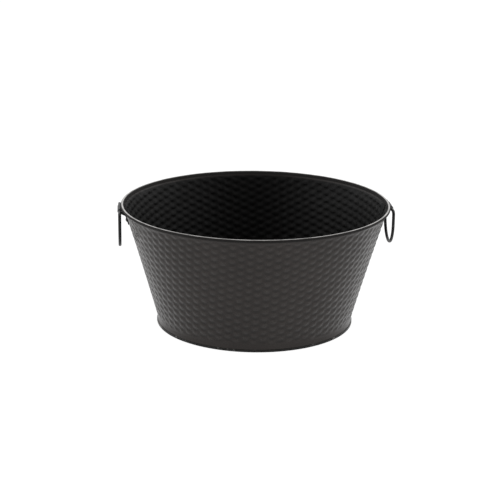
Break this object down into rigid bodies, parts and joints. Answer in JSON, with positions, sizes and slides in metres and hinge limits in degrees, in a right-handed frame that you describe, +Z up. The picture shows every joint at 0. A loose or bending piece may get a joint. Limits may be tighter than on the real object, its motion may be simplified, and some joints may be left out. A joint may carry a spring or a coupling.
{
  "type": "log bucket",
  "caption": "Round tapered sheet-metal bucket for the hearth, with a rolled rim, a seamed foot and wire drop handles that swing on riveted ears.",
  "frame": {"origin": "on the ground, at the bucket's own axis", "axes": "+Z up, handles on +X and -X, front on -Y"},
  "size_m": [0.4606, 0.45, 0.205],
  "materials": {
    "wall_sheet": "satin, dark grey-brown",
    "black_paint": "satin, black",
    "steel_wire": "bare drawn wire"
  },
  "bodies": {
    "bucket": {"front_panel": "wall_sheet", "back_panel": "wall_sheet", "rim_wire": "steel_wire", "base_plate": "wall_sheet", "left_ear": "black_paint", "right_ear": "black_paint", "left_rivets": "black_paint", "right_rivets": "black_paint"},
    "left_handle": {"left_handle": "black_paint"},
    "right_handle": {"right_handle": "black_paint"}
  },
  "joints": [
    {"name": "left_handle_swing", "type": "hinge", "parent": "bucket", "child": "left_handle", "pos_m": [-0.2268, 0, 0.19651], "axis": [0, 1, 0], "range_deg": [-21, 199]},
    {"name": "right_handle_swing", "type": "hinge", "parent": "bucket", "child": "right_handle", "pos_m": [0.2268, 0, 0.19651], "axis": [0, -1, 0], "range_deg": [-21, 199]}
  ]
}
